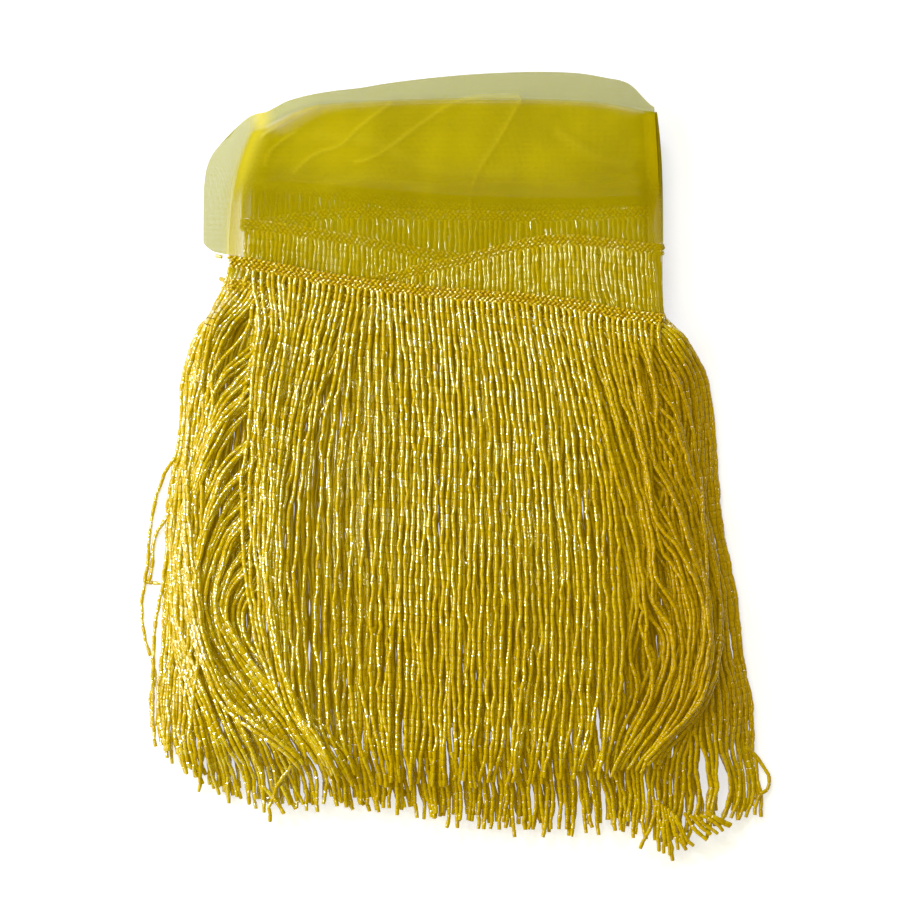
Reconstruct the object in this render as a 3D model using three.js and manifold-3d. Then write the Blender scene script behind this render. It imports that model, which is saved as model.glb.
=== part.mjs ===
// Beaded fringe trim: a sheer net ribbon whose lower edge carries a beaded heading, from which
// long strings of beads hang. One length of it is folded back and forth into eight passes and
// lies flat. X runs along the ribbon, Y from the strings' tips (-) to the net's top edge (+) and
// Z up from the surface. The origin is on that surface, at the middle of the bundle. Millimetres.
import * as THREE from "three";
import { mergeVertices } from "three/addons/utils/BufferGeometryUtils.js";
import Module from "manifold-3d";

// Ribbon and heading
const PASS_PITCH = 2.4;
const NET_THICKNESS = 1.0;
const NET_ROWS = [0, 0.22, 0.45, 0.67, 0.87, 1];
const NET_RIPPLE = 0.25;
const HEADING_WIDTH = 5.4;
const HEADING_THICKNESS = 1.8;
const HEADING_GAP = 0.4;
const PASS_STEPS = 8;
const FOLD_STEPS = 4;

// Strings of beads
const STRING_ROOT_WIDTH = 3.3;
const STRING_TIP_WIDTH = 2.7;
const STRING_HEIGHT = 1.8;
const ROOT_DEPTH = 1.2;
const ROOT_INSET = 0.1;
const ROOT_FALL = 5.5;
const ROOT_MARGIN = 2.6;
const SWAY = 0.5;
const DRAPE_EDGE = 7;
const DRAPE_LENGTH = 24;
const TIP_UNEVENNESS = 1;

// Places along Y where every string has a station, so that strings which cross stay apart
const LEVELS = [130, 60, 20, -30, -80, -96, -106, -118, -134, -150, -172];

// Top edges of the net at even steps from left to right: the uppermost pass covers the others
const COVER_TOP = [147.5, 159.5, 164, 167, 169, 170, 170.5, 167, 156];
const STACK_TOP = [145, 155, 157.5, 158.5, 159, 159, 158.5, 157, 153];

// How far the ends of a pass lean over at the net's top
const STACK_LEAN = { left: 10.5, right: -2.5 };
const COVER_LEAN = { left: 14.5, right: -2.5 };

// The uppermost net runs on past its heading as a bare tail, and droops where nothing carries it
const TAIL = 9;
const TAIL_RISE = 1.5;
const TAIL_DROOP = 3;
const DROOP = 0.4;
const DROOP_START = 1;

// The passes from the surface up. left and right are X of the ends. heading is Y of the heading's
// middle line and tips is Y of the strings' tips, both at even steps from left to right. topShift
// moves the net's top edge. spreadLeft and spreadRight are X of the fringe's sides, at even steps
// from root to tip.
const PASSES = [
  {
    left: -91,
    right: 85.6,
    heading: [108, 112, 113, 113.7, 115.5],
    topShift: -3,
    strings: 16,
    tips: [-100, -103, -101, -103, -100],
    spreadLeft: [-90, -97, -101, -104, -105, -102, -98],
    spreadRight: [84, 92, 95, 97, 98, 98, 97],
  },
  {
    left: -89.4,
    right: 85.6,
    heading: [121.9, 118.9, 115.5, 114.2, 115.5],
    topShift: -1.5,
    strings: 16,
    tips: [-90, -93, -92, -93, -91],
    spreadLeft: [-88, -96, -101, -104, -105, -102, -98],
    spreadRight: [84, 94, 98, 100, 101, 101, 100],
  },
  {
    left: -89.4,
    right: 84.7,
    heading: [121.9, 116.7, 111.6, 111.2, 110.3],
    topShift: -2.5,
    strings: 16,
    tips: [-92, -93, -91, -93, -92],
    spreadLeft: [-88, -98, -104, -108, -109, -105, -100],
    spreadRight: [84, 95, 101, 104, 104.5, 104, 103],
  },
  {
    left: -93.7,
    right: 84.7,
    heading: [104.7, 109.4, 108.6, 108.1, 110.3],
    topShift: -0.5,
    strings: 16,
    tips: [-100, -103, -102, -103, -101],
    spreadLeft: [-92, -101, -108, -112, -113, -109, -103],
    spreadRight: [84, 97, 104, 107, 108, 107.5, 106],
  },
  {
    left: -93.7,
    right: 86.9,
    heading: [104.7, 98.3, 90.5, 88.8, 94],
    topShift: -2,
    strings: 18,
    tips: [-112, -115, -114, -115, -113],
    spreadLeft: [-92, -103, -112, -117, -118, -115, -108],
    spreadRight: [85, 100, 107, 110.5, 112, 112, 111],
  },
  {
    left: -98.9,
    right: 86.9,
    heading: [78.9, 78, 87.5, 97.8, 94],
    topShift: 0,
    strings: 28,
    tips: [-122, -130, -128, -131, -129, -131, -130, -131, -127],
    spreadLeft: [-97, -113.5, -123, -128, -128.5, -126, -122],
    spreadRight: [85, 103, 110, 114.5, 118, 122, 127],
  },
  {
    left: -98.9,
    right: 88.2,
    heading: [78.9, 73.7, 69, 66, 63.9],
    topShift: -1,
    strings: 34,
    tips: [-119, -138, -145, -142, -150, -153, -151, -156, -142],
    spreadLeft: [-97, -115, -125, -132.5, -132.5, -131.5, -129],
    spreadRight: [86.5, 109.5, 116, 120, 124, 130.5, 139.5],
  },
  {
    left: -99.8,
    right: 88.2,
    heading: [88.8, 80.6, 75, 71.4, 63.9],
    topShift: 0,
    strings: 34,
    tips: [-126, -129.5, -134, -137, -137, -136, -133, -130.5, -128],
    spreadLeft: [-98, -109, -117.5, -115, -107, -90, -64],
    spreadRight: [86.5, 100.5, 106.5, 109, 107.5, 97, 80.5],
  },
];

// Strings that stray from the rest: the pass, the place from left (0) to right (1), and the tip
const STRAYS = [
  { pass: 6, place: 0.01, x: -135, y: -95 },
  { pass: 6, place: 0.78, x: 79, y: -165 },
  { pass: 6, place: 0.84, x: 94, y: -170.5 },
  { pass: 6, place: 0.87, x: 102.5, y: -164 },
];

const lerp = THREE.MathUtils.lerp;
const clamp = THREE.MathUtils.clamp;

// Smooth value of an evenly stepped table at a place from 0 to 1.
function along(table, place) {
  const last = table.length - 1;
  const steps = clamp(place, 0, 1) * last;
  const low = Math.min(Math.floor(steps), last - 1);
  const t = steps - low;
  const before = table[Math.max(low - 1, 0)];
  const from = table[low];
  const to = table[low + 1];
  const after = table[Math.min(low + 2, last)];
  const turn = 2 * before - 5 * from + 4 * to - after;
  const bend = 3 * (from - to) + after - before;
  return from + 0.5 * t * (to - before + t * (turn + t * bend));
}

// A closed body from quads and end faces, given as flat lists of corner points.
function bodyOf(triangles) {
  const geometry = new THREE.BufferGeometry();
  const corners = triangles.flat().flatMap((p) => [p.x, p.y, p.z]);
  geometry.setAttribute("position", new THREE.Float32BufferAttribute(corners, 3));
  return mergeVertices(geometry, 1e-4);
}

function quad(a, b, c, d) {
  return [
    [a, b, c],
    [a, c, d],
  ];
}

// A tube with straight sides through rings of corners, closed at both ends.
function tubeOf(rings) {
  const triangles = [];
  const sides = rings[0].length;
  for (let k = 0; k + 1 < rings.length; k += 1) {
    for (let j = 0; j < sides; j += 1) {
      const next = (j + 1) % sides;
      triangles.push(...quad(rings[k][j], rings[k][next], rings[k + 1][next], rings[k + 1][j]));
    }
  }
  const first = rings[0];
  const end = rings[rings.length - 1];
  for (let j = 1; j + 1 < sides; j += 1) {
    triangles.push([first[0], first[j + 1], first[j]]);
    triangles.push([end[0], end[j], end[j + 1]]);
  }
  return bodyOf(triangles);
}

// Stations along the ribbon from its first end to its last, through every pass and fold. Each has
// its pass, its place across the pass, the fold's offset in X and Z and the way the ribbon faces.
function ribbonStations() {
  const stations = [];
  PASSES.forEach((pass, index) => {
    const heading = index % 2 === 0 ? 1 : -1;
    for (let k = 0; k <= PASS_STEPS; k += 1) {
      const step = k / PASS_STEPS;
      const place = heading > 0 ? step : 1 - step;
      stations.push({ pass: index, place, shift: 0, rise: 0, facing: [0, heading] });
    }
    if (index + 1 < PASSES.length) {
      const radius = PASS_PITCH / 2;
      for (let k = 1; k < FOLD_STEPS; k += 1) {
        const angle = (k / FOLD_STEPS - 0.5) * Math.PI;
        stations.push({
          pass: index,
          place: heading > 0 ? 1 : 0,
          shift: heading * radius * Math.cos(angle),
          rise: radius * (1 + Math.sin(angle)),
          facing: [-Math.cos(angle), -heading * Math.sin(angle)],
        });
      }
    }
  });
  return stations;
}

// X of a station on the heading: the ends are drawn in so that the folds reach the pass's ends.
function stationX(station) {
  const pass = PASSES[station.pass];
  const fold = (PASS_PITCH + NET_THICKNESS) / 2;
  return lerp(pass.left + fold, pass.right - fold, station.place);
}

// The net: one folded sheet from the heading's upper edge to its own top edge.
function netGeometry() {
  const cover = PASSES.length - 1;
  const columns = ribbonStations().map((station) => {
    const pass = PASSES[station.pass];
    const stack = along(STACK_TOP, station.place) + pass.topShift;
    const covers = station.pass === cover;
    const lean = covers ? COVER_LEAN : STACK_LEAN;
    return {
      station,
      stack,
      lean: lerp(lean.left, lean.right, station.place),
      low: along(pass.heading, station.place) + HEADING_WIDTH / 2 + HEADING_GAP,
      high: covers ? along(COVER_TOP, station.place) : stack,
      x: stationX(station),
      droop: 0,
    };
  });
  const end = columns[columns.length - 1];
  columns.push({ ...end, x: end.x - TAIL, low: end.low + TAIL_RISE, droop: TAIL_DROOP });
  const rows = NET_ROWS.map((height) =>
    columns.map(({ station, stack, lean, low, high, x, droop }) => {
      const flat = station.pass === 0 || station.shift !== 0;
      const edge = Math.sin(station.place * Math.PI);
      const wave = Math.sin(station.place * 9 + height * 3 + station.pass * 2);
      const ripple = flat ? 0 : NET_RIPPLE * edge * wave;
      const y = lerp(low, high, height);
      const hang = droop + DROOP * Math.max(y - stack - DROOP_START, 0);
      return {
        x: x + station.shift + lean * height ** 3,
        y,
        z: station.pass * PASS_PITCH + NET_THICKNESS / 2 + station.rise + ripple - hang,
        facing: station.facing,
      };
    }),
  );
  const side = (p, sign) => {
    const half = (sign * NET_THICKNESS) / 2;
    return new THREE.Vector3(p.x + half * p.facing[0], p.y, p.z + half * p.facing[1]);
  };
  const over = rows.map((row) => row.map((p) => side(p, 1)));
  const under = rows.map((row) => row.map((p) => side(p, -1)));
  const triangles = [];
  const top = rows.length - 1;
  const last = columns.length - 1;
  for (let k = 0; k < last; k += 1) {
    for (let r = 0; r < top; r += 1) {
      triangles.push(...quad(over[r][k], over[r][k + 1], over[r + 1][k + 1], over[r + 1][k]));
      triangles.push(...quad(under[r][k], under[r + 1][k], under[r + 1][k + 1], under[r][k + 1]));
    }
    triangles.push(...quad(over[0][k], under[0][k], under[0][k + 1], over[0][k + 1]));
    triangles.push(...quad(over[top][k], over[top][k + 1], under[top][k + 1], under[top][k]));
  }
  for (let r = 0; r < top; r += 1) {
    triangles.push(...quad(over[r][0], over[r + 1][0], under[r + 1][0], under[r][0]));
    triangles.push(
      ...quad(over[r][last], under[r][last], under[r + 1][last], over[r + 1][last]),
    );
  }
  return bodyOf(triangles);
}

// The heading: a strip that follows the net's lower edge through every pass and fold.
function headingGeometry() {
  const rings = ribbonStations().map((station) => {
    const y = along(PASSES[station.pass].heading, station.place);
    const z = station.pass * PASS_PITCH + HEADING_THICKNESS / 2 + station.rise;
    const x = stationX(station) + station.shift;
    const corner = (across, through) =>
      new THREE.Vector3(
        x + (through * HEADING_THICKNESS * station.facing[0]) / 2,
        y + (across * HEADING_WIDTH) / 2,
        z + (through * HEADING_THICKNESS * station.facing[1]) / 2,
      );
    return [corner(-1, -1), corner(-1, 1), corner(1, 1), corner(1, -1)].reverse();
  });
  return tubeOf(rings);
}

// How much a pass's fringe lifts what lies over it at a point: 1 on it, falling to 0 past its
// sides and its tips.
function liftOf(pass, x, y) {
  const across = clamp((x - pass.left) / (pass.right - pass.left), 0, 1);
  const root = along(pass.heading, across);
  const tip = along(pass.tips, across);
  const down = clamp((root - y) / (root - tip), 0, 1);
  const aside = Math.max(
    along(pass.spreadLeft, down) - DRAPE_EDGE - x,
    x - along(pass.spreadRight, down) - DRAPE_EDGE,
    0,
  );
  const support = LEVELS.find((level) => level < tip - TIP_UNEVENNESS);
  const past = Math.max(support - y, 0);
  return 1 - THREE.MathUtils.smoothstep(Math.hypot(aside, past), 0, DRAPE_LENGTH);
}

// Height of a pass's underside over the surface: one pitch for each pass that lies under it there.
function heightAt(index, x, y) {
  const below = LEVELS.findIndex((level) => level < y);
  const low = LEVELS[Math.max(below, 1)];
  const high = LEVELS[Math.max(below, 1) - 1];
  const liftAt = (level) => {
    let lift = 0;
    for (let k = 0; k < index; k += 1) {
      lift += liftOf(PASSES[k], x, level);
    }
    return lift;
  };
  return PASS_PITCH * lerp(liftAt(low), liftAt(high), clamp((y - low) / (high - low), 0, 1));
}

// One string of beads: three flat sides, from inside the heading down to its tip.
function stringGeometry(index, place, stray) {
  const pass = PASSES[index];
  const rootX = lerp(pass.left + ROOT_MARGIN, pass.right - ROOT_MARGIN, place);
  const rootY = along(pass.heading, place) - HEADING_WIDTH / 2;
  const evenTip = stray ? stray.y : along(pass.tips, place);
  const tipY = evenTip + (stray ? 0 : TIP_UNEVENNESS * Math.sin(place * 151 + index * 5));
  const sideways = (down) => {
    const curl = 1 + 2.4 * (1 - down) ** 3;
    const toLeft = along(pass.spreadLeft, down) - pass.spreadLeft[0];
    const toRight = along(pass.spreadRight, down) - pass.spreadRight[0];
    return rootX + toLeft * (1 - place) ** curl + toRight * place ** curl;
  };
  const strayBy = stray ? stray.x - sideways(1) : 0;
  const fall = [rootY + ROOT_DEPTH, rootY - ROOT_FALL];
  LEVELS.filter((level) => level < rootY - ROOT_FALL - 8 && level > tipY + 1.5).forEach(
    (level) => fall.push(level),
  );
  fall.push(tipY);
  const rings = fall.map((y, k) => {
    const down = clamp((rootY - y) / (rootY - evenTip), 0, 1);
    const sway = SWAY * Math.sin(down * 7 + place * 23 + index) * Math.min(down * 4, 1);
    const x = sideways(down) + sway + strayBy * down ** 3;
    const half = lerp(STRING_ROOT_WIDTH, STRING_TIP_WIDTH, down) / 2;
    const inset = k === 0 ? ROOT_INSET : 0;
    const z = k === 0 ? index * PASS_PITCH + inset : heightAt(index, x, y);
    return [
      new THREE.Vector3(x - half, y, z),
      new THREE.Vector3(x + half, y, z),
      new THREE.Vector3(x, y, z + STRING_HEIGHT - 2 * inset),
    ];
  });
  return tubeOf(rings);
}

const wasm = await Module();
wasm.setup();

function solidOf(geometry) {
  return new wasm.Manifold(
    new wasm.Mesh({
      numProp: 3,
      vertProperties: geometry.attributes.position.array,
      triVerts: new Uint32Array(geometry.index.array),
    }),
  );
}

// The fringe: the heading with every string joined to it.
function fringeGeometry() {
  let solid = solidOf(headingGeometry());
  PASSES.forEach((pass, index) => {
    for (let k = 0; k < pass.strings; k += 1) {
      const place = (k + 0.5) / pass.strings;
      const reach = 0.5 / pass.strings;
      const stray = STRAYS.find((s) => s.pass === index && Math.abs(s.place - place) <= reach);
      solid = solid.add(solidOf(stringGeometry(index, place, stray)));
    }
  });
  const mesh = solid.getMesh();
  const geometry = new THREE.BufferGeometry();
  geometry.setAttribute("position", new THREE.BufferAttribute(mesh.vertProperties, 3));
  geometry.setIndex(new THREE.BufferAttribute(mesh.triVerts, 1));
  return geometry;
}

const trim = new THREE.Group();
trim.name = "beaded_fringe_trim";

const net = new THREE.Mesh(
  netGeometry(),
  new THREE.MeshStandardMaterial({ color: 0xb5a81e, roughness: 0.75, metalness: 0 }),
);
net.name = "net_ribbon";
trim.add(net);

const fringe = new THREE.Mesh(
  fringeGeometry(),
  new THREE.MeshStandardMaterial({ color: 0xc79a10, roughness: 0.3, metalness: 0 }),
);
fringe.name = "beaded_fringe";
trim.add(fringe);

export default trim;
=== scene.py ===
import bpy
import numpy as np
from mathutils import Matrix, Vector


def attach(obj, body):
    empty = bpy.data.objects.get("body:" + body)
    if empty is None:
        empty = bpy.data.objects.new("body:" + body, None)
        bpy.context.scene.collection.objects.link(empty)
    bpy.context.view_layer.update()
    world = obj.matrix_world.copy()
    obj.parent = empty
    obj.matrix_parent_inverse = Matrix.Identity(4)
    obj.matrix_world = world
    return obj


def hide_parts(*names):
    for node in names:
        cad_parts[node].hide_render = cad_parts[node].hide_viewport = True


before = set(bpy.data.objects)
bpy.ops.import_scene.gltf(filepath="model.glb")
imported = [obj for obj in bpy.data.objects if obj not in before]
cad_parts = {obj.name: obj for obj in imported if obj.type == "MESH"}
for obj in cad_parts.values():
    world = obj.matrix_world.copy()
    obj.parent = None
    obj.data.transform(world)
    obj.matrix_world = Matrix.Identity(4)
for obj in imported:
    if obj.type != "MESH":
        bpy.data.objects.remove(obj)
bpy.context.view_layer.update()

# The net ribbon: one long sheet of sheer net that zigzags through the passes, from the lowest one's
# left end up to the uppermost one, which covers the rest and runs on past them at its top and left.
# It starts HEADING_GAP past its heading, turns END_INSET inside the ends of each pass, and looks
# denser over the last NET_EDGE before a fold.
MM = 0.001
PASS_PITCH = 2.4
PASS_LENGTH = 188
FOLD_RADIUS = PASS_PITCH / 2
HEADING_WIDTH = 5.4
HEADING_GAP = 0.2
END_INSET = 1.7
NET_EDGE = 7

# The passes from the table up, between left and right. heading is Y of the heading's middle and
# tips is Y of the strings' tips, at even steps from left to right. top is how far the net reaches
# past STACK_TOP, and inset is how far the strings stay inside the fringe's edges.
PASSES = [
    dict(left=-91, right=85.6, heading=[108, 112, 113, 113.7, 115.5], top=-3, inset=3,
         tips=[-112, -116, -115, -116, -112]),
    dict(left=-89.4, right=85.6, heading=[121.9, 118.9, 115.5, 114.2, 115.5], top=-1.5, inset=2.5,
         tips=[-106, -109, -110, -110, -108]),
    dict(left=-89.4, right=84.7, heading=[121.9, 116.7, 111.6, 111.2, 110.3], top=-2.5, inset=2,
         tips=[-108, -113, -114, -114, -112]),
    dict(left=-93.7, right=84.7, heading=[104.7, 109.4, 108.6, 108.1, 110.3], top=-0.5, inset=1.5,
         tips=[-113, -124, -128, -128, -122]),
    dict(left=-93.7, right=88.6, heading=[104.7, 98.3, 90.5, 88.8, 94], top=-2, inset=1,
         tips=[-120, -140, -143.5, -144, -149, -153, -152, -153, -145]),
    dict(left=-98.9, right=88.6, heading=[78.9, 78, 87.5, 97.8, 94], top=0, inset=0.6,
         tips=[-121.5, -142.5, -146, -146, -152, -156, -155, -157.5, -148]),
    dict(left=-98.9, right=88.2, heading=[78.9, 73.7, 69, 66, 63.9], top=-1, inset=0,
         tips=[-122.5, -144.5, -147.5, -147, -153.5, -158, -157, -161, -150]),
    dict(left=-99.8, right=88.2, heading=[88.8, 80.6, 75, 71.4, 63.9], top=0, inset=0,
         tips=[-126, -129.5, -134, -137, -137, -136, -133, -130.5, -128]),
]

UPPERMOST = len(PASSES) - 1

# Y of the net's top edge at even steps from left to right, how far it leans to the right at its
# left and right ends, and how much each lower pass hides of what is under it, from the table up
COVER_TOP = [152.5, 157.5, 160.3, 162, 163.2, 165, 166.4, 167.6, 168.6, 169.3, 169.8, 170.1, 170,
             169.4, 167.6, 164.8, 154.8]
STACK_TOP = [145, 155, 157.5, 158.5, 159, 159, 158.5, 157, 153]
COVER_LEAN = (14.5, -2.5)
STACK_LEAN = (10.5, -2.5)
LOWER_COVER = [0.8, 0.7, 0.55, 0.34, 0.26, 0.2, 0.17]

# Creases of the uppermost net, each with its height, its half width and the points that it follows
CREASES = [
    (0.4, 0.7, [(-60, 155), (-72, 150), (-83.5, 142)]),
    (0.35, 0.6, [(-70, 144), (-80, 136.5), (-82.5, 130)]),
    (0.4, 0.7, [(-29, 156.5), (-43, 145.5), (-50, 138.5), (-61.5, 134.5), (-70, 127)]),
    (0.4, 0.7, [(26, 159.5), (2, 158), (-14.5, 148.5), (-33, 135), (-44, 131)]),
    (0.45, 0.6, [(27, 158), (18, 142), (6.5, 122), (5.5, 100)]),
    (0.5, 0.5, [(-75, 105), (-68, 98), (-61, 90)]),
    (0.9, 2.2, [(44, 144), (59, 133.5), (74, 130)]),
    (0.7, 2.6, [(-60, 142), (-36, 139), (-8, 128), (22, 126)]),
    (0.6, 2.4, [(-84, 122), (-66, 118), (-40, 124), (-12, 119)]),
]


def along(table, place):
    """Smooth value of an evenly stepped table at places from 0 to 1."""
    table = np.asarray(table, float)
    last = len(table) - 1
    steps = np.clip(place, 0, 1) * last
    low = np.minimum(steps.astype(int), last - 1)
    t = steps - low
    before = table[np.maximum(low - 1, 0)]
    start = table[low]
    end = table[low + 1]
    after = table[np.minimum(low + 2, last)]
    turn = 2 * before - 5 * start + 4 * end - after
    bend = 3 * (start - end) + after - before
    return start + 0.5 * t * (end - before + t * (turn + t * bend))


def blend(a, b, t):
    return a + (b - a) * t


def smooth(t):
    t = np.clip(t, 0, 1)
    return t * t * (3 - 2 * t)


def distance_to(points, x, y):
    """Distance of each x, y from a line through points."""
    nearest = np.full(np.shape(x), 1e9)
    for (ax, ay), (bx, by) in zip(points, points[1:]):
        length = (bx - ax) ** 2 + (by - ay) ** 2
        t = np.clip(((x - ax) * (bx - ax) + (y - ay) * (by - ay)) / length, 0, 1)
        nearest = np.minimum(nearest, np.hypot(x - ax - t * (bx - ax), y - ay - t * (by - ay)))
    return nearest


def curve_through(points, steps):
    """Points of a smooth line through the given ones."""
    points = np.asarray(points, float)
    place = np.linspace(0, 1, steps)
    return np.stack([along(points[:, k], place) for k in range(points.shape[1])], axis=-1)


def grid_mesh(name, x, y, z, attributes, u, v):
    """A sheet of quads through rows and columns of points, with its own UVs."""
    rows, columns = x.shape
    points = np.stack([x, y, z], axis=-1).reshape(-1, 3) * MM
    index = np.arange(rows * columns).reshape(rows, columns)
    quads = np.stack([index[:-1, :-1], index[:-1, 1:], index[1:, 1:], index[1:, :-1]], axis=-1)
    quads = quads.reshape(-1, 4)
    mesh = bpy.data.meshes.new(name)
    mesh.from_pydata(points.tolist(), [], quads.tolist())
    layer = mesh.uv_layers.new(name="along_ribbon")
    pairs = np.stack([u, v], axis=-1).reshape(-1, 2)[quads.reshape(-1)]
    layer.data.foreach_set("uv", pairs.reshape(-1))
    for key, values in attributes.items():
        attribute = mesh.attributes.new(key, "FLOAT", "POINT")
        attribute.data.foreach_set("value", values.reshape(-1).astype(np.float32))
    mesh.shade_smooth()
    sheet = bpy.data.objects.new(name, mesh)
    bpy.context.scene.collection.objects.link(sheet)
    return sheet


def lower_net():
    """The net of every pass under the uppermost one, with the folds between them."""
    stations = []
    for index, row in enumerate(PASSES[:-1]):
        onward = 1 if index % 2 == 0 else -1
        for step in np.linspace(0, 1, 33):
            stations.append((index, step if onward > 0 else 1 - step, 0, 0, row["top"]))
        for angle in np.linspace(-0.5, 0.5, 7)[1:-1] * np.pi:
            done = (1 + np.sin(angle)) / 2
            top = blend(row["top"], PASSES[index + 1]["top"], done)
            shift = onward * FOLD_RADIUS * np.cos(angle)
            stations.append((index, 1.0 if onward > 0 else 0.0, shift, done * PASS_PITCH, top))
    index, place, shift, rise, top = (np.array(c, float) for c in zip(*stations))
    index = index.astype(int)
    height = np.linspace(0, 1, 19)[:, None]
    left = np.array([PASSES[k]["left"] + END_INSET for k in index])
    right = np.array([PASSES[k]["right"] - END_INSET for k in index])
    low = np.array([along(PASSES[k]["heading"], np.array(p)) for k, p in zip(index, place)])
    low = low + HEADING_WIDTH / 2 + HEADING_GAP
    high = along(STACK_TOP, place) + top
    lean = blend(*STACK_LEAN, place)
    y = blend(low, high, height)
    x = blend(left, right, place) + shift + lean * height**3
    ripple = 0.3 * np.sin(x * 0.09 + index * 2) * np.sin(y * 0.12 + index) * np.sin(place * np.pi)
    ripple = np.where(index == 0, 0.25 * ripple, ripple)
    z = index * PASS_PITCH + 0.5 + rise + ripple
    edge = smooth(1 - np.minimum(place, 1 - place) * PASS_LENGTH / NET_EDGE)
    plain = np.array(LOWER_COVER)[index]
    sheer = blend(plain, 0.52, smooth((y - 112) / 22)) * (1 + blend(1.8, 2.4, place) * edge)
    u = np.broadcast_to((index + place) * PASS_LENGTH * MM, y.shape)
    # Painted shade where the lower net turns away from the light at its right folds
    fold_shade = smooth((x - 74) / 12) * smooth((88.2 - x) / 1.6)
    attributes = {"sheer": sheer, "crease": 0 * y, "alone": 0 * y, "fold_shade": fold_shade}
    return grid_mesh("net_folds", x, y, z, attributes, u, y * MM)


def upper_net():
    """The uppermost net: it covers the others and ends in a bare tail at the left."""
    row = PASSES[UPPERMOST]
    place = np.linspace(1, -0.06, 200)
    height = np.linspace(0, 1, 88)[:, None]
    tail = np.clip(-place / 0.06, 0, 1)
    low = along(row["heading"], place) + HEADING_WIDTH / 2 + HEADING_GAP
    low = low + 1.5 * tail + 3.5 * tail**4
    high = along(COVER_TOP, place) - 10.4 * tail**2
    stack = along(STACK_TOP, place)
    lean = np.where(place < 0, blend(COVER_LEAN[0], 11.2, tail), blend(*COVER_LEAN, place))
    steepness = blend(3, 6, tail)
    y = blend(low, high, height)
    x = blend(row["left"] + END_INSET, row["right"] - END_INSET, place) + lean * height**steepness
    past = np.maximum(y - stack - 1, 0)
    inside = smooth(np.minimum(y - low, 12) / 12) * np.clip(1 - past / 6, 0, 1)
    waves = 0.35 * np.sin(x * 0.11 + 0.04 * y) * np.sin(0.13 * y - 0.03 * x + 1)
    waves = waves + 0.2 * np.sin(0.31 * x + 0.2 * y) * np.sin(0.27 * y - 0.12 * x)
    # crease marks the net's creases: it makes the net a little denser there and lightens its colour
    # as a painted highlight
    crease = 0 * y
    for rise, width, points in CREASES:
        line = curve_through(points, 24).tolist()
        ridge = np.exp(-((distance_to(line, x, y) / width) ** 2))
        waves = waves + rise * ridge
        crease = np.maximum(crease, ridge * min(1, 0.9 / width))
    z = UPPERMOST * PASS_PITCH + 0.55 + waves * inside - 3 * tail - 0.28 * past
    # A band along the stack's left edge also gets a crease value, which paints a highlight on that
    # rounded fold
    stack_left = -98.4 + 10.5 * np.clip((y - 81) / 64, 0, 1) ** 3
    crease = np.maximum(crease, 2.2 * np.exp(-(((x - stack_left - 3.5) / 4) ** 2)))
    # beyond marks where the net lies alone past the stack: there it is denser, and its colour gets
    # painted shade
    beyond = np.maximum(smooth((y - stack + 2.5) / 2.5), smooth((stack_left + 1.5 - x) / 2.5))
    edge = smooth(1 - np.minimum(np.abs(place), 1 - place) * PASS_LENGTH / NET_EDGE)
    sheer = blend(0.15, 0.5, smooth((y - 112) / 23)) * (1 + blend(1.8, 2.4, place) * edge)
    sheer = blend(sheer, np.where(tail > 0, 0.8, 0.92), beyond)
    u = np.broadcast_to((UPPERMOST + 1 - place) * PASS_LENGTH * MM, y.shape)
    # Painted shade where the uppermost net turns away from the light at the right
    fold_shade = smooth((x - 74) / 12) * (1 - beyond)
    attributes = {"sheer": sheer, "crease": crease, "alone": beyond, "fold_shade": fold_shade}
    return grid_mesh("net_cover", x, y, z, attributes, u, y * MM)


def new_material(name):
    material = bpy.data.materials.new(name)
    material.use_nodes = True
    nodes = material.node_tree.nodes
    return material, nodes, material.node_tree.links, nodes["Principled BSDF"]


def math_node(nodes, links, operation, *values, clamp=False):
    """A Math node whose inputs are numbers or sockets. Returns its output."""
    node = nodes.new("ShaderNodeMath")
    node.operation = operation
    node.use_clamp = clamp
    for socket, value in zip(node.inputs, values):
        if isinstance(value, (int, float)):
            socket.default_value = value
        else:
            links.new(value, socket)
    return node.outputs[0]


def attribute_value(nodes, name):
    attribute = nodes.new("ShaderNodeAttribute")
    attribute.attribute_name = name
    return attribute.outputs["Fac"]


def noise_value(nodes, links, coordinates, scale, detail):
    noise = nodes.new("ShaderNodeTexNoise")
    noise.inputs["Scale"].default_value = scale
    noise.inputs["Detail"].default_value = detail
    links.new(coordinates, noise.inputs["Vector"])
    return noise.outputs["Fac"]


def ramp_value(nodes, links, value, start, end):
    """0 before start and 1 past end, with a smooth change between them."""
    ramp = nodes.new("ShaderNodeMapRange")
    ramp.interpolation_type = "SMOOTHSTEP"
    ramp.inputs["From Min"].default_value = start
    ramp.inputs["From Max"].default_value = end
    links.new(value, ramp.inputs["Value"])
    return ramp.outputs["Result"]


def mixed_colour(nodes, links, share, first, second):
    """A share of the second colour in the first. A colour is three numbers or a socket."""
    node = nodes.new("ShaderNodeMix")
    node.data_type = "RGBA"
    links.new(share, node.inputs["Factor"])
    for key, colour in (("A", first), ("B", second)):
        if isinstance(colour, tuple):
            node.inputs[key].default_value = (*colour, 1)
        else:
            links.new(colour, node.inputs[key])
    return node.outputs["Result"]


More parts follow.
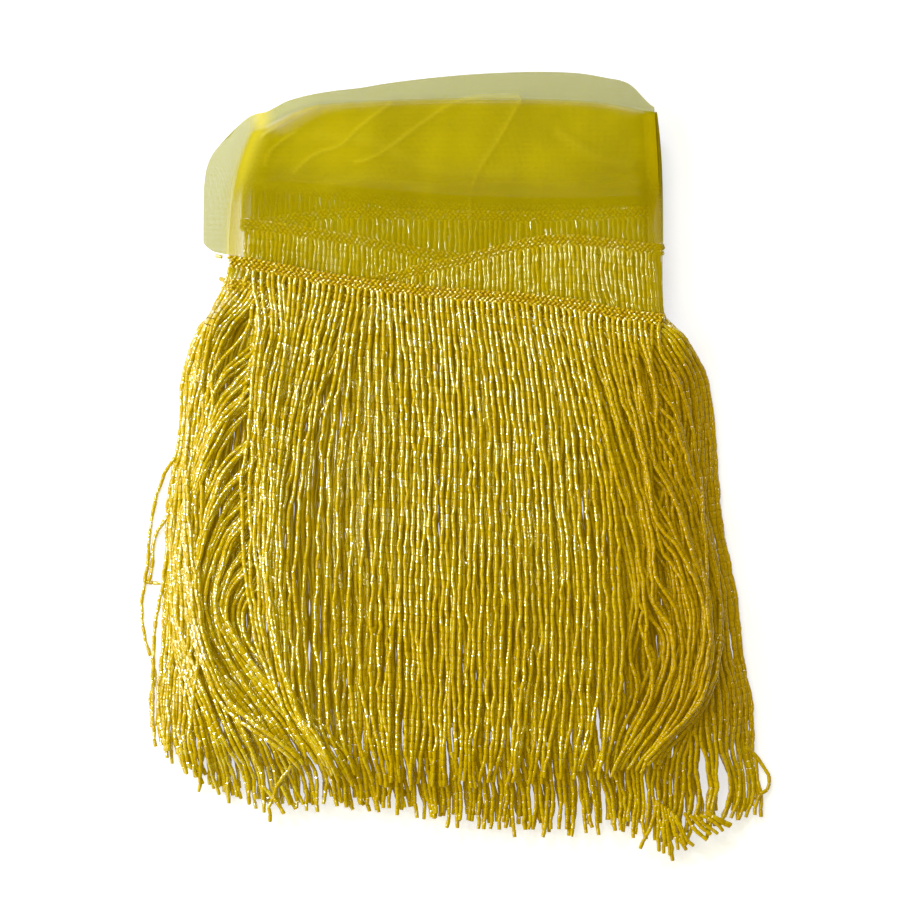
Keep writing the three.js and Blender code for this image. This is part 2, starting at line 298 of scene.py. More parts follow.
def net_material():
    """Sheer yellow net of fine threads, with painted light and shade on it: painted darker and
    greener where it lies alone, a painted highlight on its creases, and painted shade where it
    turns at the right."""
    material, nodes, links, surface = new_material("yellow_net")
    ribbon = nodes.new("ShaderNodeUVMap")
    ribbon.uv_map = "along_ribbon"
    cells = nodes.new("ShaderNodeTexVoronoi")
    cells.feature = "DISTANCE_TO_EDGE"
    cells.inputs["Scale"].default_value = 1900
    cells.inputs["Randomness"].default_value = 0.35
    links.new(ribbon.outputs["UV"], cells.inputs["Vector"])
    thread = ramp_value(nodes, links, cells.outputs["Distance"], 0.2, 0.04)
    cloud = noise_value(nodes, links, ribbon.outputs["UV"], 26, 3)
    crease = attribute_value(nodes, "crease")
    tint = mixed_colour(nodes, links, cloud, (0.3, 0.26, 0.0), (0.78, 0.71, 0.0))
    # Where the net lies alone past the stack, its colour is painted darker and greener, as painted
    # shade for the lone layer over the table
    tint = mixed_colour(nodes, links, attribute_value(nodes, "alone"), tint, (0.29, 0.31, 0.0))
    # Painted highlight: the crease value lightens the net's colour along its creases and the
    # rounded fold at the stack's left edge
    crease_highlight = math_node(nodes, links, "MULTIPLY", crease, 0.34)
    tint = mixed_colour(nodes, links, crease_highlight, tint, (0.72, 0.67, 0.06))
    # Painted shade: a share of dark brown where the net turns at the right
    fold_shade = math_node(nodes, links, "MULTIPLY", attribute_value(nodes, "fold_shade"), 0.45)
    tint = mixed_colour(nodes, links, fold_shade, tint, (0.27, 0.18, 0.0))
    links.new(tint, surface.inputs["Base Color"])
    woven = math_node(nodes, links, "MULTIPLY_ADD", thread, 0.7, 0.65)
    cover = math_node(nodes, links, "MULTIPLY", woven, attribute_value(nodes, "sheer"))
    cover = math_node(nodes, links, "MULTIPLY_ADD", crease, 0.1, cover, clamp=True)
    links.new(cover, surface.inputs["Alpha"])
    surface.inputs["Roughness"].default_value = 0.75
    surface.inputs["Specular IOR Level"].default_value = 0.05
    return material


yellow_net = net_material()
net_folds = lower_net()
net_cover = upper_net()
for sheet in (net_folds, net_cover):
    sheet.data.materials.append(yellow_net)
    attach(sheet, "root")
    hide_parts("net_ribbon")


# The heading: rows of short seed beads sewn close together on a narrow tape along the net's lower
# edge, leaning one way and the other like a braid. It follows the ribbon round every fold.
HEADING_THICKNESS = 1.8
HEADING_SAMPLES = 240
FOLD_SAMPLES = 8
SEED_PITCH = 2.15
SEED_LENGTH = 2.3
SEED_WIDTH = 1.45
SEED_ROWS = [-1.95, -0.65, 0.65, 1.95]
TAPE_EDGES = [-2.4, 2.6]
TAPE_DEPTH = 0.3


def template_of(maker, **sizes):
    """The object that a primitive's operator makes, with nothing else selected."""
    bpy.ops.object.select_all(action="DESELECT")
    maker(**sizes)
    return bpy.context.active_object


def bead_shape(made):
    """A bead's corners, loop starts, corner numbers and which faces are rounded. Removes made."""
    mesh = made.data
    corners = np.zeros(len(mesh.vertices) * 3)
    mesh.vertices.foreach_get("co", corners)
    starts = np.zeros(len(mesh.polygons), int)
    mesh.polygons.foreach_get("loop_start", starts)
    loops = np.zeros(len(mesh.loops), int)
    mesh.loops.foreach_get("vertex_index", loops)
    bpy.data.objects.remove(made)
    return corners.reshape(-1, 3), starts, loops, np.ones(len(starts), bool)


def bead_mesh(name, shape, starts, ends, radius, roll, tone, material):
    """One joined mesh with a bead from each start to its end, turned by roll about its length."""
    corners, loop_starts, loops, rounded = shape
    count = len(starts)
    axis = ends - starts
    length = np.linalg.norm(axis, axis=1, keepdims=True)
    axis = axis / length
    upward = np.where(np.abs(axis[:, 2:3]) > 0.9, [[1.0, 0, 0]], [[0, 0, 1.0]])
    side = np.cross(axis, upward)
    side = side / np.linalg.norm(side, axis=1, keepdims=True)
    other = np.cross(axis, side)
    cosine, sine = np.cos(roll)[:, None], np.sin(roll)[:, None]
    first = cosine * side + sine * other
    second = cosine * other - sine * side
    middle = (starts + ends) / 2
    radius = np.broadcast_to(radius, (count,))[:, None]
    place = (
        middle[:, None]
        + (first * radius)[:, None] * corners[None, :, 0:1]
        + (second * radius)[:, None] * corners[None, :, 1:2]
        + (axis * length)[:, None] * corners[None, :, 2:3]
    )
    mesh = bpy.data.meshes.new(name)
    mesh.vertices.add(count * len(corners))
    mesh.vertices.foreach_set("co", (place * MM).reshape(-1))
    step = np.arange(count)[:, None]
    mesh.loops.add(count * len(loops))
    mesh.loops.foreach_set("vertex_index", (loops[None] + step * len(corners)).reshape(-1))
    mesh.polygons.add(count * len(loop_starts))
    mesh.polygons.foreach_set("loop_start", (loop_starts[None] + step * len(loops)).reshape(-1))
    mesh.update(calc_edges=True)
    mesh.polygons.foreach_set("use_smooth", np.tile(rounded, count))
    attribute = mesh.attributes.new("tone", "FLOAT", "POINT")
    attribute.data.foreach_set("value", np.repeat(tone, len(corners)).astype(np.float32))
    mesh.materials.append(material)
    beads = bpy.data.objects.new(name, mesh)
    bpy.context.scene.collection.objects.link(beads)
    return beads


def bead_material(name, deep, bright):
    """Yellow lined glass: each bead has its own tone, and the brighter ones glint. A faint painted
    glow lifts the shaded sides and the gaps between strings.
    """
    material, nodes, links, surface = new_material(name)
    tone = attribute_value(nodes, "tone")
    coordinates = nodes.new("ShaderNodeTexCoord")
    cloud = noise_value(nodes, links, coordinates.outputs["Object"], 900, 2)
    mixed = math_node(nodes, links, "MULTIPLY_ADD", cloud, 0.5, tone)
    mixed = math_node(nodes, links, "SUBTRACT", mixed, 0.25, clamp=True)
    links.new(mixed_colour(nodes, links, mixed, deep, bright), surface.inputs["Base Color"])
    surface.inputs["Roughness"].default_value = 0.12
    surface.inputs["IOR"].default_value = 2.0
    surface.inputs["Specular IOR Level"].default_value = 0.25
    flash = ramp_value(nodes, links, tone, 0.46, 0.58)
    links.new(flash, surface.inputs["Coat Weight"])
    surface.inputs["Coat Roughness"].default_value = 0.1
    surface.inputs["Coat IOR"].default_value = 4.0
    # Painted glow: a faint orange emission that lifts the beads' shaded sides and the gaps between
    # strings, though the beads give no light
    surface.inputs["Emission Color"].default_value = (0.4, 0.26, 0.0, 1)
    surface.inputs["Emission Strength"].default_value = 0.13
    return material


def heading_line(index):
    """Points along a pass's heading and the fold after it."""
    row = PASSES[index]
    onward = 1 if index % 2 == 0 else -1
    start, end = (0, 1) if onward > 0 else (1, 0)
    place = np.linspace(start, end, HEADING_SAMPLES)
    x = blend(row["left"] + END_INSET, row["right"] - END_INSET, place)
    y = along(row["heading"], place)
    z = np.full(HEADING_SAMPLES, index * PASS_PITCH + HEADING_THICKNESS / 2)
    if index < UPPERMOST:
        angle = np.linspace(-0.5, 0.5, FOLD_SAMPLES + 1)[1:] * np.pi
        x = np.append(x, x[-1] + onward * FOLD_RADIUS * np.cos(angle))
        y = np.append(y, np.full(FOLD_SAMPLES, y[-1]))
        z = np.append(z, z[-1] + FOLD_RADIUS * (1 + np.sin(angle)))
    return np.stack([x, y, z], axis=-1)


def spaced(line, pitch, offset=0.0):
    """Points at even distances along a line of points."""
    step = np.linalg.norm(np.diff(line, axis=0), axis=1)
    far = np.concatenate([[0], np.cumsum(step)])
    stops = np.arange(offset, far[-1], pitch)
    return np.stack([np.interp(stops, far, line[:, k]) for k in range(3)], axis=-1)


def seed_rows(rng):
    """Starts and ends of the seed beads of every pass, leaning one way and the other by rows."""
    starts, ends = [], []
    for index in range(len(PASSES)):
        line = heading_line(index)
        for number, across in enumerate(SEED_ROWS):
            row = line + np.array([0, across, 0])
            middle = spaced(row, SEED_PITCH, 0.5 * SEED_PITCH * (number % 2))
            ahead = np.gradient(middle, axis=0)
            ahead = ahead / np.linalg.norm(ahead, axis=1, keepdims=True)
            lean = np.radians(34 if number % 2 == 0 else -34)
            lean = lean + rng.normal(0, 0.22, len(middle))
            middle = middle + rng.normal(0, 0.13, middle.shape)
            axis = ahead * np.cos(lean)[:, None] + np.array([0, 1, 0]) * np.sin(lean)[:, None]
            axis = axis + np.array([0, 0, 1]) * rng.normal(0, 0.12, len(middle))[:, None]
            starts.append(middle - axis * SEED_LENGTH / 2)
            ends.append(middle + axis * SEED_LENGTH / 2)
    return np.concatenate(starts), np.concatenate(ends)


yellow_beads = bead_material("yellow_glass", (0.41, 0.265, 0.0), (0.63, 0.56, 0.0))
seed = template_of(
    bpy.ops.mesh.primitive_uv_sphere_add, segments=6, ring_count=4, radius=1, location=(0, 0, 0)
)
seed.scale = (1, 1, 0.5)
bpy.ops.object.transform_apply(location=False, rotation=False, scale=True)
seed_shape = bead_shape(seed)
rng = np.random.default_rng(11)
seed_starts, seed_ends = seed_rows(rng)
seeds = len(seed_starts)
heading = bead_mesh(
    "heading_beads",
    seed_shape,
    seed_starts,
    seed_ends,
    SEED_WIDTH / 2,
    rng.uniform(0, 2 * np.pi, seeds),
    rng.uniform(0.1, 0.7, seeds),
    yellow_beads,
)
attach(heading, "root")
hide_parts("beaded_fringe")

tape_line = np.concatenate([heading_line(index) for index in range(len(PASSES))])[::3]
tape_x = np.stack([tape_line[:, 0]] * 2)
tape_y = np.stack([tape_line[:, 1] + across for across in TAPE_EDGES])
tape_z = np.stack([tape_line[:, 2] - TAPE_DEPTH] * 2)
tape_u = np.stack([np.arange(len(tape_line)) * 0.002] * 2)
tape = grid_mesh("heading_tape", tape_x, tape_y, tape_z, {}, tape_u, tape_y * MM)
tape_material, nodes, links, tape_surface = new_material("yellow_tape")
coordinates = nodes.new("ShaderNodeTexCoord")
weave = noise_value(nodes, links, coordinates.outputs["Object"], 1400, 2)
tape_tint = mixed_colour(nodes, links, weave, (0.36, 0.24, 0.005), (0.62, 0.45, 0.02))
links.new(tape_tint, tape_surface.inputs["Base Color"])
tape_surface.inputs["Roughness"].default_value = 0.8
tape.data.materials.append(tape_material)
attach(tape, "root")
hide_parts("beaded_fringe")


# The strings: from 76 to 100 a pass, each a thread of bugle beads. They fall from the heading,
# spread at the sides, and slant out from under the uppermost pass at its left and right edges. The
# four lowest passes have single beads where the net shows them, and longer pieces below that. The
# strings start ROOT_INSET inside the ends of their pass and ROOT_DEPTH inside the heading.
STRING_RADIUS = 0.95
ROOT_INSET = 1.5
ROOT_DEPTH = 0.8
BEAD_PITCH = 3.2
HIDDEN_PITCH = 6.4
SAMPLES = 110
SHOWN_SAMPLES = 20
FULLY_BEADED = 4
STRING_COUNTS = [100, 90, 80, 80, 96, 96, 94, 76]

# X of the fringe's left and right edges, at even steps of Y from EDGE_TOP down to EDGE_BOTTOM
EDGE_TOP = 100
EDGE_BOTTOM = -160
LEFT_EDGE = [-98, -101.3, -113, -120, -121.2, -124.6, -126.5, -128, -128.5, -129.6, -131.5,
             -132, -130, -126]
RIGHT_EDGE = [85, 85.5, 96.5, 107.3, 111, 112, 114.2, 118.3, 121.4, 123.8, 127, 128, 131, 128]

# Y where a pass begins to widen from its heading to the fringe's edges, and how far down that takes
LEFT_OPENS = (82, 22)
RIGHT_OPENS = (68, 12)

# A pass begins to raise what lies over it at FOOT outside the fringe's sides, and raises it fully
# from SHOULDER further in. FOOT past its own tips that begins to end, over FRONT_DROP.
FOOT = 4
SHOULDER = 26
FRONT_DROP = 24

# Strings of a pass that lie closer than ROOM ride on each other, up to PILE_LIMIT
ROOM = 1.8
PILE_LIMIT = 3.2
PILE_BLUR = 17

# X of the uppermost pass's strings: a row for each eighth of the heading, root to tip in eighths
UPPER_FLOW = [
    [-98.5, -109.7, -115.2, -117.8, -118.3, -116.1, -111.8, -100.2, -67.9],
    [-76.5, -81.7, -85.6, -87.3, -88.2, -87.7, -83.4, -74, -58.5],
    [-53.3, -59.5, -64.5, -67.9, -70.1, -71.2, -70.2, -66, -50.7],
    [-29.7, -28.5, -28, -28.4, -29, -29.4, -29.4, -29, -28],
    [-6, -3.9, -2.6, -2.6, -3, -3.4, -3.4, -3.4, -3.4],
    [17.6, 20.8, 23.4, 24.8, 25.6, 25.8, 25, 23.6, 21.6],
    [40.9, 45, 49.4, 52.6, 54.6, 55.6, 55.6, 53.6, 50],
    [64.5, 70.5, 76.4, 80.6, 83.4, 85.6, 87.4, 84, 76],
    [86.5, 98, 101, 102, 102.5, 103.5, 103.5, 97, 82.6],
]

# Groups of strings that hang under the uppermost pass's edge and leave it one after another. first
# and last are places along the heading, from_y and to_y are where those two strings leave, held is
# where they hang until then, and free is how far inside the fringe's edge they straighten.
LEAVING = [
    dict(index=6, side="left", first=0.07, last=0.34, from_y=70, to_y=-40, held=-86, free=(2, 18)),
    dict(index=5, side="left", first=0.07, last=0.3, from_y=66, to_y=-46, held=-85, free=(3, 19)),
    dict(index=4, side="left", first=0.08, last=0.3, from_y=62, to_y=-50, held=-84, free=(4, 18)),
    dict(index=7, side="right", first=1.0, last=0.82, from_y=61, to_y=-70, held=84, free=(5, 20)),
    dict(index=6, side="right", first=0.88, last=0.74, from_y=50, to_y=-84, held=80, free=(4, 18)),
    dict(index=5, side="right", first=0.88, last=0.74, from_y=46, to_y=-76, held=80, free=(6, 20)),
]

# Slots between strands at the lower right: middle, half width and half height
SLOTS = [(106.4, -132, 2.0, 9), (114.4, -138, 2.3, 11)]


def edge_at(table, y):
    """X of the fringe's left or right edge at Y."""
    return along(table, (EDGE_TOP - y) / (EDGE_TOP - EDGE_BOTTOM))


def inset_at(row, y):
    """How far inside the fringe's edges a pass's strings stay at Y: not at all near the heading."""
    return row["inset"] * smooth((60 - y) / 40)


def edges(index, y):
    """X of the left and right sides of a pass's strings at Y."""
    row = PASSES[index]
    left = edge_at(LEFT_EDGE, y) + inset_at(row, y)
    right = edge_at(RIGHT_EDGE, y) - inset_at(row, y)
    left = blend(row["left"], left, smooth((LEFT_OPENS[0] - y) / LEFT_OPENS[1]))
    right = blend(row["right"], right, smooth((RIGHT_OPENS[0] - y) / RIGHT_OPENS[1]))
    return left, right


def lift(index, x, y):
    """How much a pass raises what lies over it: 1 on it, falling to 0 at the fringe's edges."""
    row = PASSES[index]
    across = np.clip((x - row["left"]) / (row["right"] - row["left"]), 0, 1)
    tip = along(row["tips"], across)
    left, right = edges(index, y)
    inset = inset_at(row, y)
    from_left = (x - left + inset + FOOT) / blend(FOOT, SHOULDER, smooth((84 - y) / 50))
    from_right = (right + inset - x + FOOT) / blend(FOOT, SHOULDER, smooth((70 - y) / 50))
    side = smooth(np.minimum(from_left, from_right))
    past = np.maximum(tip - FOOT - y, 0)
    return side * (1 - smooth(past / FRONT_DROP))


def height_at(index, x, y):
    """Height of what a pass's strings lie on."""
    return PASS_PITCH * sum((lift(number, x, y) for number in range(index)), 0 * x)


def spread_out(index, root_x, place, down, y):
    """X of a pass's strings as they spread from the heading to the fringe's edges."""
    row = PASSES[index]
    left, right = edges(index, y)
    curl = 1 + 0.8 * (1 - down) ** 2
    reach = 1.4 * smooth(down * 8)
    to_left = np.minimum(left - row["left"], 0) - reach
    to_right = np.maximum(right - row["right"], 0) + reach
    return root_x + to_left * (1 - place) ** curl + to_right * place**curl


def upper_flow(place, down):
    """X of the uppermost pass's strings from its table, smooth in both directions."""
    columns = np.stack([along(row, down[0]) for row in UPPER_FLOW])
    split = np.where(place < 0.07, place * 0.5, np.interp(place, [0.07, 0.25, 1], [0.112, 0.25, 1]))
    opened = smooth(down * 8)
    shown = blend(place, split, opened)
    return np.stack([along(columns[:, k], shown[:, k]) for k in range(columns.shape[1])], axis=1)


def soft_noise(rng, place, down, across, length, waves=7):
    """Smooth noise over a pass, about 1 high, with the given count of humps across and down."""
    total = 0
    for _ in range(waves):
        sideways = rng.normal(0, across)
        lengthwise = rng.normal(0, length)
        turns = sideways * place + lengthwise * down
        total = total + np.sin(2 * np.pi * turns + rng.uniform(0, 6.28))
    return total / np.sqrt(waves)


def leave_edge(group, x, y, place, root_x, root_y, rng):
    """X of the strings of a group: held under the edge, then slanting out and straightening."""
    share = (place - group["first"]) / (group["last"] - group["first"])
    member = (share >= 0) & (share <= 1)
    share = np.clip(share, 0, 1)
    count = len(place)
    turn_y = blend(group["from_y"], group["to_y"], share) + rng.normal(0, 3, (count, 1))
    held_x = group["held"] + rng.normal(0, 1.4, (count, 1))
    begin = np.minimum(root_y, 80)
    gone_down = np.clip((begin - y) / np.maximum(begin - turn_y, 8), 0, 1)
    held = blend(root_x if group["index"] == UPPERMOST else x, held_x, smooth(gone_down))
    inside = blend(*group["free"], share) + rng.normal(0, 1.2, (count, 1))
    if group["side"] == "left":
        free = edge_at(LEFT_EDGE, y) + inside
    else:
        free = edge_at(RIGHT_EDGE, y) - inside
    slant = rng.uniform(0.6, 1.0, (count, 1))
    past = np.maximum(turn_y - y, 0) * slant / 26
    gone = 1 - np.exp(-past * smooth(past * 1.5))
    slanted = blend(held, free, gone)
    slanted = blend(slanted, x, smooth((-50 - y) / 85))
    return np.where(member, slanted, x)


def swayed(x, place, down, rng):
    """The strings with soft waves that neighbours share, and small ones of their own."""
    loose = smooth(down * 5)
    calm = 1 - 0.55 * smooth(1 - np.abs(place - 0.55) / 0.4)
    calm = calm * blend(0.35, 1, smooth(np.minimum(place, 1 - place) / 0.07))
    x = x + 1.0 * loose * calm * soft_noise(rng, place, down, 5, 1.6)
    x = x + 0.45 * loose * calm * soft_noise(rng, place, down, 13, 3)
    own = rng.uniform(0, 6.28, (len(x), 3))
    pace = rng.uniform(0.7, 1.3, (len(x), 3))
    x = x + 0.22 * loose * np.sin(2 * np.pi * 5 * pace[:, :1] * down + own[:, :1])
    return x + 0.22 * loose * np.sin(2 * np.pi * 11 * pace[:, 1:2] * down + own[:, 1:2])


def gathered(x, down, pull, rng):
    """The strings drawn together in small clumps near their tips, with ends that splay."""
    clump = np.cumsum(rng.uniform(0, 1, len(x)) < 0.25)
    middle = np.zeros(len(x))
    for number in range(clump.max() + 1):
        members = clump == number
        if members.any():
            middle[members] = x[members, -1].mean()
    x = blend(x, middle[:, None] + (x - x[:, -1:]), pull * smooth((down - 0.78) / 0.2))
    splay = rng.normal(0, 1.6, (len(x), 1)) + rng.normal(0, 1, clump.max() + 1)[clump][:, None]
    return x + splay * np.clip((down - 0.88) / 0.12, 0, 1) ** 2


def parted(x, y):
    """The strings moved aside round each of the slots."""
    for slot_x, slot_y, half_width, half_height in SLOTS:
        nearest = np.abs(y - slot_y).argmin(axis=1)
        offset = x[np.arange(len(x)), nearest][:, None] - slot_x
        near = smooth(1.5 - np.abs(y - slot_y) / half_height)
        x = x + np.sign(offset) * half_width * near * np.exp(-np.abs(offset) / (3 * half_width))
    return x


def piled_up(x, order):
    """How high each string lies on others of its own pass, laid down in the given order."""
    piled = np.zeros(x.shape)
    for rank, one in enumerate(order[1:], 1):
        others = order[:rank]
        gap = np.abs(x[others] - x[one])
        over = np.sqrt(np.maximum(ROOM**2 - gap**2, 0)) + piled[others]
        over = np.where(gap < ROOM * 0.92, over, 0)
        piled[one] = np.minimum(over.max(axis=0), PILE_LIMIT)
    kernel = np.hanning(PILE_BLUR + 2)[1:-1]
    kernel = kernel / kernel.sum()
    padded = np.pad(piled, ((0, 0), (PILE_BLUR // 2, PILE_BLUR // 2)), mode="edge")
    return np.stack([np.convolve(line, kernel, mode="valid") for line in padded])


def string_paths(index, rng):
    """Middle lines of a pass's strings, as an array of strings, samples and coordinates."""
    row = PASSES[index]
    count = STRING_COUNTS[index]
    place = ((np.arange(count) + 0.5 + rng.uniform(-0.16, 0.16, count)) / count)[:, None]
    down = np.broadcast_to(np.linspace(0, 1, SAMPLES), (count, SAMPLES))
    root_x = blend(row["left"] + ROOT_INSET, row["right"] - ROOT_INSET, place)
    root_y = along(row["heading"], place) - HEADING_WIDTH / 2 + ROOT_DEPTH
    tip_y = along(row["tips"], place) + rng.normal(0, 1.4, (count, 1))
    y = blend(root_y, tip_y, down)
    if index == UPPERMOST:
        x = upper_flow(place, down)
    else:
        x = spread_out(index, root_x, place, down, y)
    for group in LEAVING:
        if group["index"] == index:
            x = leave_edge(group, x, y, place, root_x, root_y, rng)
    x = swayed(x, place, down, rng)
    wander = np.where(rng.uniform(0, 1, (count, 1)) < 0.05, rng.normal(0, 5, (count, 1)), 0)
    begin = rng.uniform(0.1, 0.6, (count, 1))
    x = x + wander * smooth((down - begin) / 0.3) * (1 - 0.5 * smooth((down - begin - 0.3) / 0.2))
    x = gathered(x, down, 0.4 if index == UPPERMOST else 0.15, rng)
    x = parted(x, y)
    share = {UPPERMOST: 1.0, UPPERMOST - 1: 0.5}.get(index, 0.25)
    piled = share * piled_up(x, rng.permutation(count))
    z = height_at(index, x, y) + STRING_RADIUS + piled * smooth(down * 12)
    z = z + (wander != 0) * 1.6 * smooth((down - begin) / 0.1)
    return np.stack([x, y, z], axis=-1)


def strung(paths, pitch, rng):
    """Starts and ends of the beads along each path, with small kinks where two beads meet."""
    starts, ends = [], []
    for path in paths:
        joints = spaced(path, pitch)
        joints = joints + rng.normal(0, 1, joints.shape) * np.array([0.2, 0.06, 0.14])
        joints[:, 2] = np.maximum(joints[:, 2], STRING_RADIUS)
        starts.append(joints[:-1])
        ends.append(joints[1:])
    return np.concatenate(starts), np.concatenate(ends)


def bugle_shape():
    """A six-sided bead with a narrow neck at one end, and a plain one. Both have open ends."""
    tube = template_of(
        bpy.ops.mesh.primitive_cylinder_add,
        vertices=6,
        radius=1,
        depth=1,
        end_fill_type="NOTHING",
        location=(0, 0, 0),
    )
    plain = bead_shape(tube)
    corners = plain[0]
    ring = corners[corners[:, 2] > 0]
    ring = ring[np.argsort(np.arctan2(ring[:, 1], ring[:, 0]))]
    rings = []
    for reach, narrow in ((-0.5, 0.66), (-0.38, 1), (0.5, 0.92)):
        rings.append(np.column_stack([ring[:, :2] * narrow, np.full(6, reach)]))
    loops = []
    for base in (0, 6):
        for side in range(6):
            after = (side + 1) % 6
            loops += [base + side, base + after, base + 6 + after, base + 6 + side]
    rounded = np.arange(12) >= 6
    return (np.concatenate(rings), np.arange(12) * 4, np.array(loops), rounded), plain


def add_strings(name, shape, starts, ends, rng):
    """A joined mesh of beads, with painted shade at the right, low down and a little at the left
    edge, where their tone, and with it their colour and glints, is lowered.
    """
    count = len(starts)
    x, y = starts[:, 0], starts[:, 1]
    # Painted shade: the beads' tone, and with it their colour and gloss, is lowered at the right,
    # low down and at the left edge
    over_tips = blend(0.5, 1, smooth((y + 125) / 25))
    shade_right = 0.8 * smooth((x - 42) / 50) * smooth((70 - y) / 30)
    shade_low = (0.24 + 0.14 * smooth((-115 - y) / 20)) * smooth((x + 75) / 40)
    shade_low = shade_low * smooth((-25 - y) / 35)
    shade_left = 0.12 * smooth((-96 - x) / 12)
    painted_shading = 1 - np.maximum(np.maximum(shade_right * over_tips, shade_low), shade_left)
    strings = bead_mesh(
        name,
        shape,
        starts,
        ends,
        STRING_RADIUS * rng.uniform(0.9, 1.06, count),
        rng.uniform(0, 2 * np.pi, count),
        rng.uniform(0.3, 0.8, count) * painted_shading,
        yellow_beads,
    )
    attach(strings, "root")
    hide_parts("beaded_fringe")


fine_bead, plain_bead = bugle_shape()
for index in range(len(PASSES)):
    rng = np.random.default_rng(100 + index)
    paths = string_paths(index, rng)
    if index >= FULLY_BEADED:
        shape = fine_bead
        starts, ends = strung(paths, BEAD_PITCH, rng)
    else:
        shape = plain_bead
        shown = strung(paths[:, :SHOWN_SAMPLES], BEAD_PITCH, rng)
        hidden = strung(paths[:, SHOWN_SAMPLES - 1 :], HIDDEN_PITCH, rng)
        starts, ends = (np.concatenate(both) for both in zip(shown, hidden))
    add_strings(f"strings_{index + 1}", shape, starts, ends, rng)

# Loose strands: bugle beads on their own thread, out of line with the rest. They stand off the left
# side, make a loop and a tuft at the lower right, and cross at the lower left, and a few odd beads
# lie beside the net. Each strand lies on the given count of passes, along the given points.
LOOSE = [
    (7, [(-121.3, 5.8), (-125.6, -0.6), (-129.4, -9.2), (-131.6, -18.7), (-132.9, -28.6),
         (-133.7, -39.3), (-135, -49.2), (-136.4, -57.4), (-135.7, -69.9), (-132.9, -80.2),
         (-130.3, -90.1), (-132.4, -99.5), (-131.6, -114.2)]),
    (7, [(-119.5, 5.8), (-122.6, -4.1), (-123, -13.5), (-126.4, -22.1), (-130.6, -29),
         (-131.9, -41.5), (-133.3, -49.2)]),
    (0, [(-134.6, -48.8), (-130, -49.6), (-125.5, -49.2)]),
    (0, [(-137.2, -29.9), (-135, -28.6)]),
    (7, [(-104.9, 91.8), (-101.3, 91)]),
    (7, [(-103, 82), (-100, 80.6)]),
    (7, [(124.3, -120.5), (128.1, -123.6), (132, -128.8), (134.2, -134.4), (133.3, -138.2),
         (129.9, -141), (128.4, -145.1), (128.1, -151)]),
    (7, [(85.6, -142.5), (83.4, -152), (77.4, -164.9)]),
    (7, [(84.7, -144.7), (88.2, -157.6), (90.3, -163.2)]),
    (7, [(87.7, -144.7), (91.2, -159.7), (92.7, -169.5)]),
    (7, [(90.3, -146), (93.7, -158.9), (95, -164.9)]),
    (7, [(92, -147.7), (95.9, -156.3), (97.6, -163.2)]),
    (7, [(93.7, -149), (98, -158.9), (103.2, -164)]),
    (7, [(86.5, -143), (86, -156), (86.7, -166)]),
    (7, [(89, -145), (90.5, -158), (91.3, -166.5)]),
    (7, [(91.5, -147), (94.5, -158), (99.5, -166)]),
    (7, [(88, -144), (88.7, -158), (88.4, -168)]),
    (7, [(97, -148), (102.5, -156), (108, -160.5)]),
    (7, [(102, -149), (108, -154.5), (114, -158.8)]),
    (7, [(107, -147), (113, -152), (119, -155)]),
    (7, [(99.8, -149), (104.9, -154.6), (110.5, -158)]),
    (7, [(104, -149), (110.5, -152), (115.2, -157.2)]),
    (7, [(106.2, -147.7), (112.7, -151.1), (118.3, -153.7)]),
    (7, [(-71.4, -127.1), (-77.4, -136.1), (-80.8, -144.7), (-80.8, -152)]),
    (7, [(-84.3, -136.1), (-78.7, -142.5), (-73.5, -149.9)]),
    (7, [(-76.1, -136.1), (-73.1, -142.5), (-71, -147.3)]),
]
rng = np.random.default_rng(41)
strands = []
for passes, points in LOOSE:
    flat = curve_through(points, 12 * len(points))
    x, y = flat[:, 0], flat[:, 1]
    z = height_at(passes, x, y) + STRING_RADIUS + (0.4 if passes else 0)
    strands.append(np.stack([x, y, z], axis=-1))
starts, ends = strung(strands, BEAD_PITCH, rng)
add_strings("loose_strands", fine_bead, starts, ends, rng)


# The white table, the light and the camera. Two narrow windows stand at the left, so that the
# strings glint along their left sides, and a lamp beyond the net lights the grooves between them.
# The picture is FRAME_WIDTH wide, in metres, at FRINGE_HEIGHT above the table.
CAMERA_HEIGHT = 2.2
FRINGE_HEIGHT = 0.008
FRAME_WIDTH = 0.387

bpy.ops.object.select_all(action="DESELECT")
bpy.ops.mesh.primitive_plane_add(size=6, location=(0, 0, -0.0002))
table = bpy.context.active_object
table.name = "white_table"
table_material, nodes, links, table_surface = new_material("white_paper")
table_surface.inputs["Base Color"].default_value = (0.72, 0.75, 0.95, 1)
table_surface.inputs["Emission Color"].default_value = (0.75, 0.8, 1, 1)
table_surface.inputs["Emission Strength"].default_value = 0.7
table_surface.inputs["Roughness"].default_value = 0.9
table_surface.inputs["Specular IOR Level"].default_value = 0.1
table.data.materials.append(table_material)


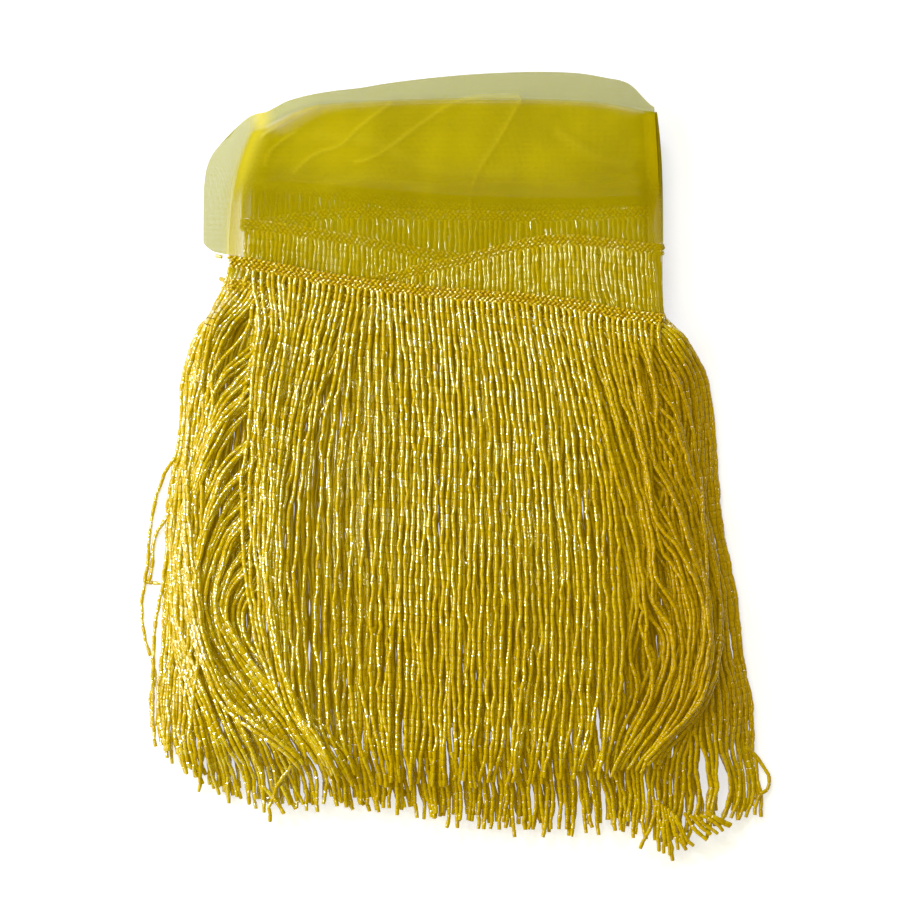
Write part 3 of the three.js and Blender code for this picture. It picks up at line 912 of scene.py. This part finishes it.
def area_light(name, place, size, power, colour):
    """A flat lamp that faces the middle of the table."""
    data = bpy.data.lights.new(name, "AREA")
    data.shape = "RECTANGLE"
    data.size, data.size_y = size
    data.energy = power
    data.color = colour
    lamp = bpy.data.objects.new(name, data)
    bpy.context.scene.collection.objects.link(lamp)
    lamp.location = place
    lamp.rotation_euler = (-Vector(place)).to_track_quat("-Z", "Y").to_euler()


area_light("left_window", (-0.745, 0.039, 0.466), (0.055, 0.88), 2.9, (1.0, 0.99, 0.98))
area_light("corner_window", (-0.619, 0.417, 0.466), (0.088, 0.88), 2.3, (1.0, 0.99, 0.98))
area_light("back_light", (-0.25, 1.3, 1.1), (0.5, 0.4), 9, (1.0, 1.0, 1.0))

world = bpy.data.worlds.new("studio")
world.use_nodes = True
bpy.context.scene.world = world
nodes, links = world.node_tree.nodes, world.node_tree.links
sky_coordinates = nodes.new("ShaderNodeTexCoord")
sky_axes = nodes.new("ShaderNodeSeparateXYZ")
links.new(sky_coordinates.outputs["Generated"], sky_axes.inputs[0])
sky_tint = mixed_colour(nodes, links, sky_axes.outputs["Z"], (0.49, 0.4, 0.06), (0.7, 0.555, 0.03))
links.new(sky_tint, nodes["Background"].inputs["Color"])
sky_side = nodes.new("ShaderNodeMapRange")
for key, value in (("From Min", -0.8), ("From Max", 0.8), ("To Min", 1.8), ("To Max", 0.12)):
    sky_side.inputs[key].default_value = value
links.new(sky_axes.outputs["X"], sky_side.inputs["Value"])
links.new(sky_side.outputs["Result"], nodes["Background"].inputs["Strength"])

camera_data = bpy.data.cameras.new("camera")
camera = bpy.data.objects.new("camera", camera_data)
bpy.context.scene.collection.objects.link(camera)
camera.location = (-0.00344, 0.00796, CAMERA_HEIGHT)
camera_data.sensor_width = 36
camera_data.lens = camera_data.sensor_width * (CAMERA_HEIGHT - FRINGE_HEIGHT) / FRAME_WIDTH
camera_data.clip_end = 20
scene = bpy.context.scene
scene.camera = camera
scene.view_settings.view_transform = "Standard"
scene.cycles.transparent_max_bounces = 48
